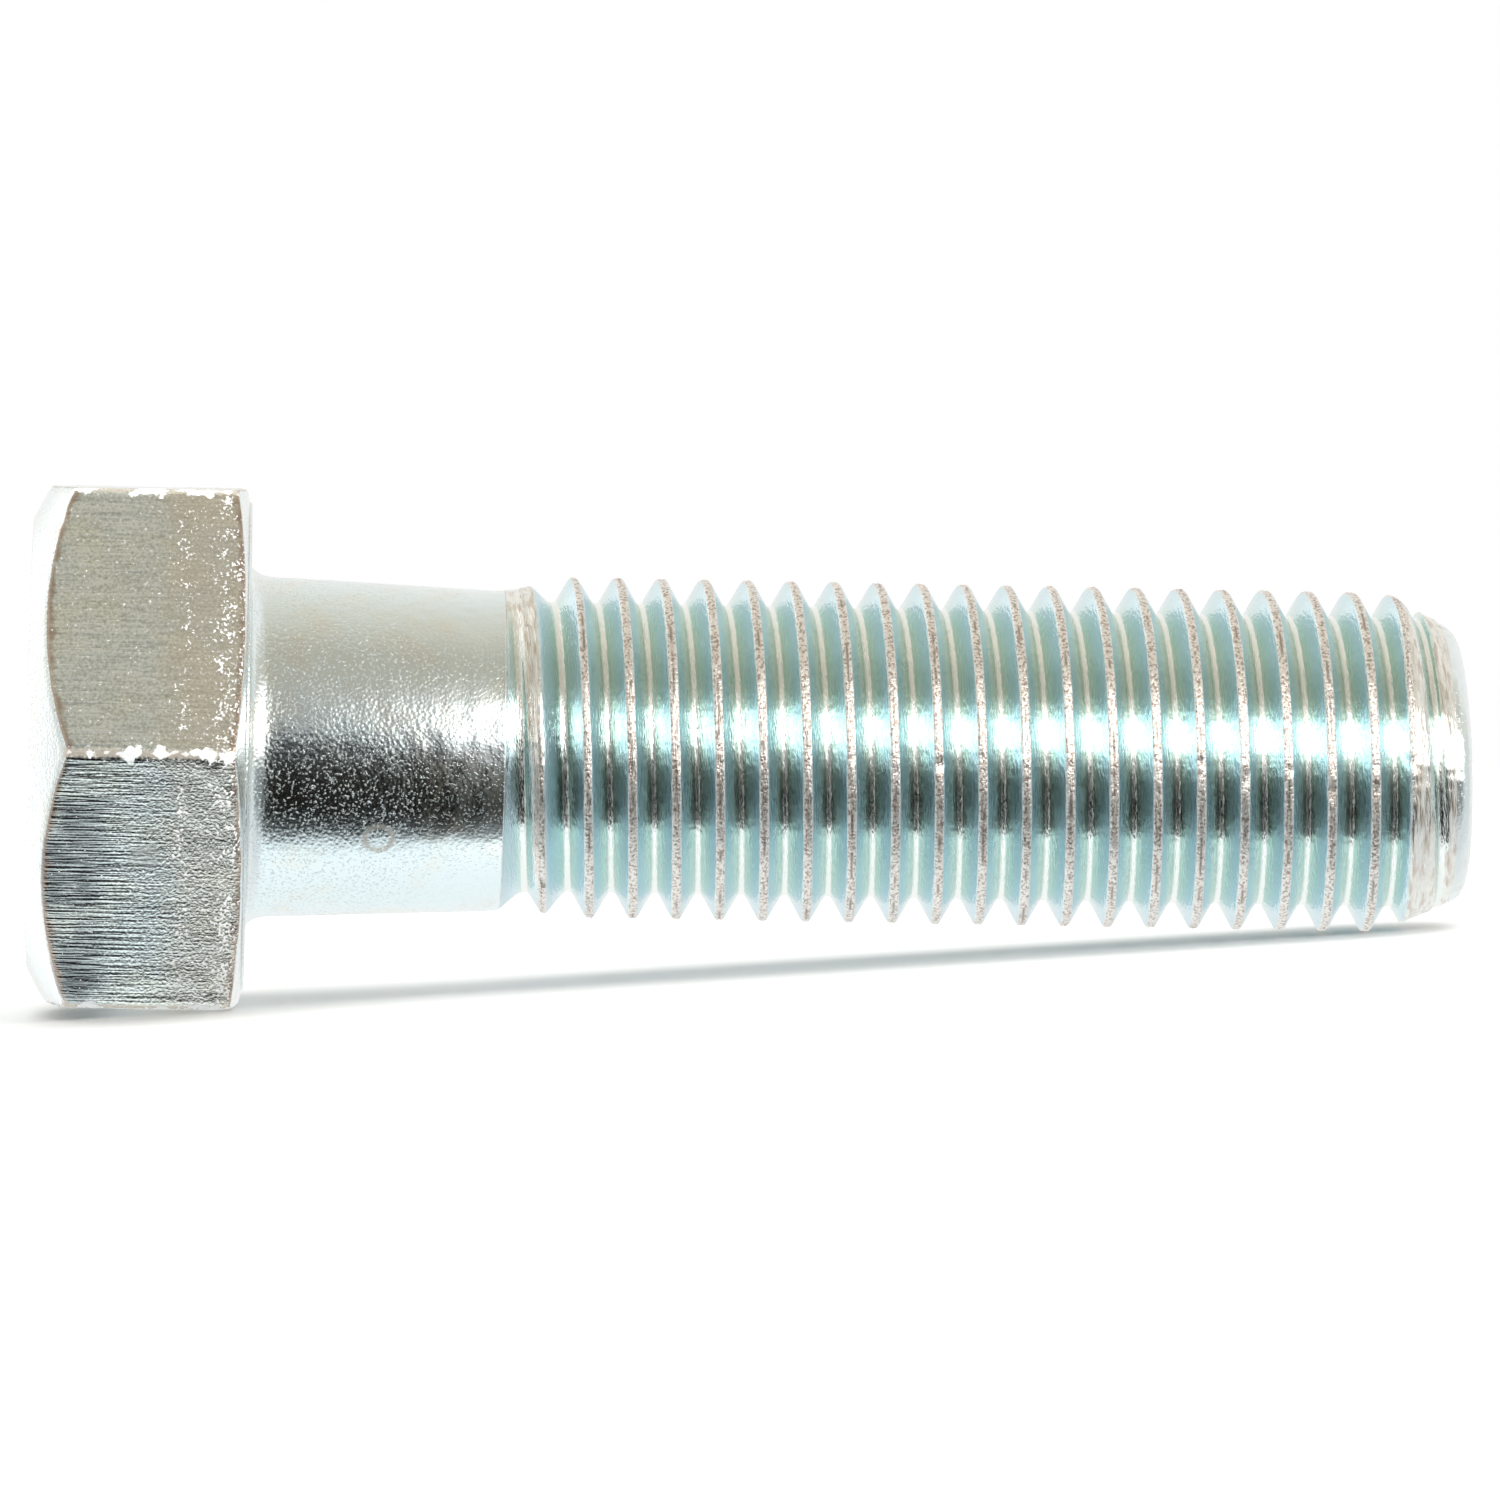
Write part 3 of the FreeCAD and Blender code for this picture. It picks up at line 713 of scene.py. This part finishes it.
# A curved softbox in front of the bolt, which starts half way along the shank and runs on past the point.
# Its tube is the bright band, and its cloth glows round it, more brightly below near its end. The room
# shines through it.
STRIP_RADIUS = 60
STRIP_X = (12, 220)
STRIP_STEPS = 34
STRIP_START, STRIP_FULL = 16 * MM, 21 * MM
END_GLOW_FADES, END_GLOW_STOPS = 20 * MM, 27 * MM
TUBE = (
    (4, "#ffffff", 0.9),
    (11, "#ffffff", 2.8),
    (28, "#ffffff", 2.8),
    (36, "#ffffff", 0.6),
    (50, "#fffbf0", 0.07),
    (90, "#fffbf0", 0.07),
    (110, "#ffffff", 0.0),
    (180, "#ffffff", 0.0),
)
STRIP = (
    (-180, "#ffffff", 0.0),
    (-75, "#ffffff", 0.0),
    (-66, "#ffffff", 0.15),
    (-58, "#f8f8f0", 0.03),
    (-34, "#f8f8f0", 0.012),
    (-22, "#fffff4", 0.035),
    (-12, "#fffff4", 0.13),
    (-5, "#ffffff", 0.3),
    *TUBE,
)
STRIP_END = (
    (-180, "#ffffff", 0.0),
    (-75, "#ffffff", 0.0),
    (-66, "#ffffff", 0.6),
    (-58, "#f8f8f0", 0.16),
    (-34, "#f8f8f0", 0.09),
    (-22, "#fffff4", 0.19),
    (-12, "#fffff4", 0.3),
    (-5, "#ffffff", 0.4),
    *TUBE,
)
angle = np.radians(np.linspace(-76, 110, STRIP_STEPS + 1))
ring = [(-STRIP_RADIUS * MM * math.cos(a), STRIP_RADIUS * MM * math.sin(a)) for a in angle]
strip_points = [(x * MM, y, z) for x in STRIP_X for y, z in ring]
strip_quads = [(i, i + 1, i + STRIP_STEPS + 2, i + STRIP_STEPS + 1) for i in range(STRIP_STEPS)]
strip_mesh = bpy.data.meshes.new("curved_softbox")
strip_mesh.from_pydata(strip_points, [], strip_quads)
softbox = bpy.data.objects.new("curved_softbox", strip_mesh)
bpy.context.scene.collection.objects.link(softbox)
softbox.visible_camera = False
material, tree = new_material("softbox_cloth")
place_at = add_node(tree, "ShaderNodeTexCoord", {}).outputs["Object"]
along = add_node(tree, "ShaderNodeSeparateXYZ", {}, place_at).outputs["X"]
strip_share = add_node(tree, RANGE, SMOOTH, along, STRIP_START, STRIP_FULL, 0.0, 1.0)
end_share = add_node(tree, RANGE, SMOOTH, along, END_GLOW_FADES, END_GLOW_STOPS, 1.0, 0.0)
glow, end_glow = (round_the_axis(tree, place_at, stages) for stages in (STRIP, STRIP_END))
glow = add_node(tree, MIX, COLOURS, end_share, A=glow, B=end_glow)
emission = add_node(tree, "ShaderNodeEmission", {}, glow, strip_share)
clear = add_node(tree, "ShaderNodeBsdfTransparent", {})
add_node(tree, "ShaderNodeOutputMaterial", {}, add_node(tree, "ShaderNodeAddShader", {}, emission, clear))
strip_mesh.materials.append(material)

# A large softbox overhead, which lights the table evenly.
LAMP_SIZE, LAMP_POWER, LAMP_PLACE = 1.2, 10.0, (0.03, 0, 1.0)
light_data = bpy.data.lights.new("overhead_softbox", "AREA")
light_data.shape = "SQUARE"
light_data.size = LAMP_SIZE
light_data.energy = LAMP_POWER
light = bpy.data.objects.new("overhead_softbox", light_data)
light.location = LAMP_PLACE
light.visible_glossy = False
light.visible_camera = False
bpy.context.scene.collection.objects.link(light)

# A long lens from the head's end, slightly above the axis and slightly rolled.
TARGET = np.array([29.0, 0.0, 0.034 + OFF_CENTRE]) * MM
CAMERA_DISTANCE = 587.48 * MM
SENSOR_WIDTH, FOCAL_LENGTH = 36, 243.8
YAW, ROLL, ELEVATION = math.radians(3.044), math.radians(1.169), math.radians(1.739)
level = math.cos(ELEVATION)
forward = np.array([math.sin(YAW) * level, math.cos(YAW) * level, -math.sin(ELEVATION)])
right = np.array([math.cos(YAW), -math.sin(YAW), 0.0])
up = np.cross(right, forward)
camera_matrix = np.eye(4)
camera_matrix[:3, 0] = math.cos(ROLL) * right + math.sin(ROLL) * up
camera_matrix[:3, 1] = math.cos(ROLL) * up - math.sin(ROLL) * right
camera_matrix[:3, 2] = -forward
camera_matrix[:3, 3] = TARGET - CAMERA_DISTANCE * forward
camera_data = bpy.data.cameras.new("camera")
camera_data.sensor_width = SENSOR_WIDTH
camera_data.lens = FOCAL_LENGTH
camera_data.clip_start = 0.01
camera_data.clip_end = 20
camera = bpy.data.objects.new("camera", camera_data)
bpy.context.scene.collection.objects.link(camera)
camera.matrix_world = Matrix(camera_matrix.tolist())
bpy.context.scene.camera = camera
bpy.context.scene.view_settings.view_transform = "Standard"
